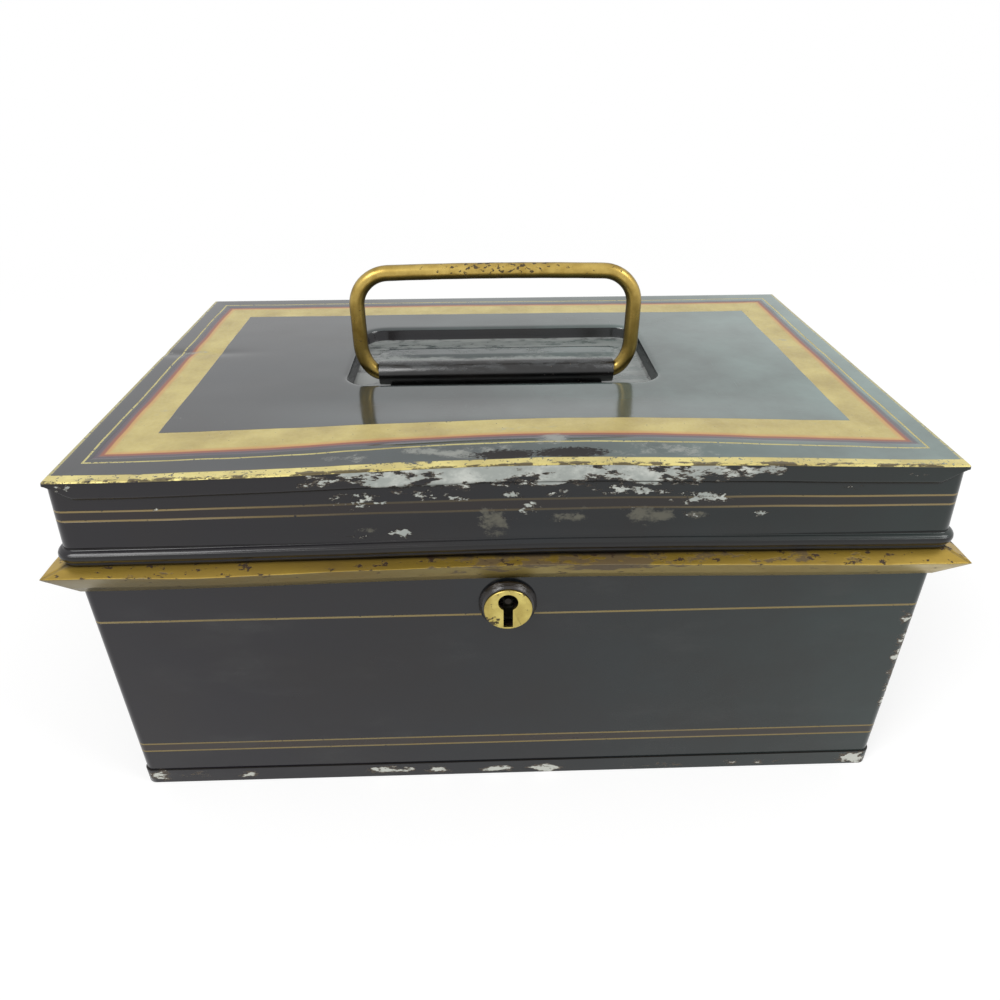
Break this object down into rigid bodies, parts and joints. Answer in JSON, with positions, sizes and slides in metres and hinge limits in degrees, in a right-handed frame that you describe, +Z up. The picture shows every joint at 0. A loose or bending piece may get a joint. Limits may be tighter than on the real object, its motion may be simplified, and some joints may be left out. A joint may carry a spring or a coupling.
{
  "type": "deed box",
  "caption": "Japanned tin deed box with a hinged lid, gold-lined panels, a folding wire bail in a sunk well and a round keyhole boss.",
  "frame": {"origin": "middle of the body's footprint, on the underside", "axes": "+X to the box's right as seen from the keyhole side, +Y from the keyhole side to the hinges, +Z up"},
  "size_m": [0.315, 0.2061, 0.1878],
  "materials": {
    "body_japan": "gloss black japan, worn, with thin dull gold lines",
    "plain_japan": "plain black japan, dulled and scuffed",
    "lid_japan": "gloss black japan with a broad gold border, chipped to bare tin along the front edge",
    "fitting_japan": "thick black japan over formed metal",
    "gold_moulding": "gold bronze paint under yellowed varnish, rubbed",
    "brass_wire": "drawn brass wire, handled smooth, pitted on the grip",
    "brass_plate": "stamped brass, tarnished at the rim",
    "hinge_japan": "black japan over tinplate",
    "steel_wire": "drawn steel, dull",
    "lock_tin": "pressed tinned steel, dull",
    "lock_brass": "filed brass"
  },
  "bodies": {
    "box": {"body_shell": "body_japan", "back_panel": "plain_japan", "bottom_pan": "plain_japan", "rim_wire": "steel_wire", "cornice_front": "gold_moulding", "cornice_left": "gold_moulding", "cornice_right": "gold_moulding", "hinge_left_box_leaf": "hinge_japan", "hinge_right_box_leaf": "hinge_japan", "hinge_left_pin": "steel_wire", "hinge_right_pin": "steel_wire", "hinge_box_rivets": "hinge_japan", "escutcheon_collar": "fitting_japan", "keyhole_plate": "brass_plate", "lock_plate": "lock_tin", "lock_case": "lock_tin", "drill_pin": "steel_wire", "lock_ward": "lock_tin", "bolt_stud": "steel_wire", "lock_rivets": "steel_wire"},
    "bail": {"bail": "brass_wire"},
    "bolt": {"lock_bolt": "lock_brass", "bolt_spring": "steel_wire"},
    "lid": {"lid_top": "lid_japan", "lid_skirt": "lid_japan", "bail_sleeve": "fitting_japan", "sleeve_rivets": "hinge_japan", "hinge_left_lid_leaf": "hinge_japan", "hinge_right_lid_leaf": "hinge_japan", "hinge_lid_rivets": "hinge_japan", "lid_staple": "lock_tin"}
  },
  "joints": [
    {"name": "lid_hinge", "type": "hinge", "parent": "box", "child": "lid", "pos_m": [0, 0.0999, 0.1086], "axis": [-1, 0, 0], "range_deg": [0, 105]},
    {"name": "bail_pivot", "type": "hinge", "parent": "lid", "child": "bail", "pos_m": [-0.00285, -0.0075, 0.1428], "axis": [-1, 0, 0], "range_deg": [-65, 90]},
    {"name": "bolt_slide", "type": "slide", "parent": "box", "child": "bolt", "axis": [1, 0, 0], "range_m": [0, 0.006]}
  ]
}
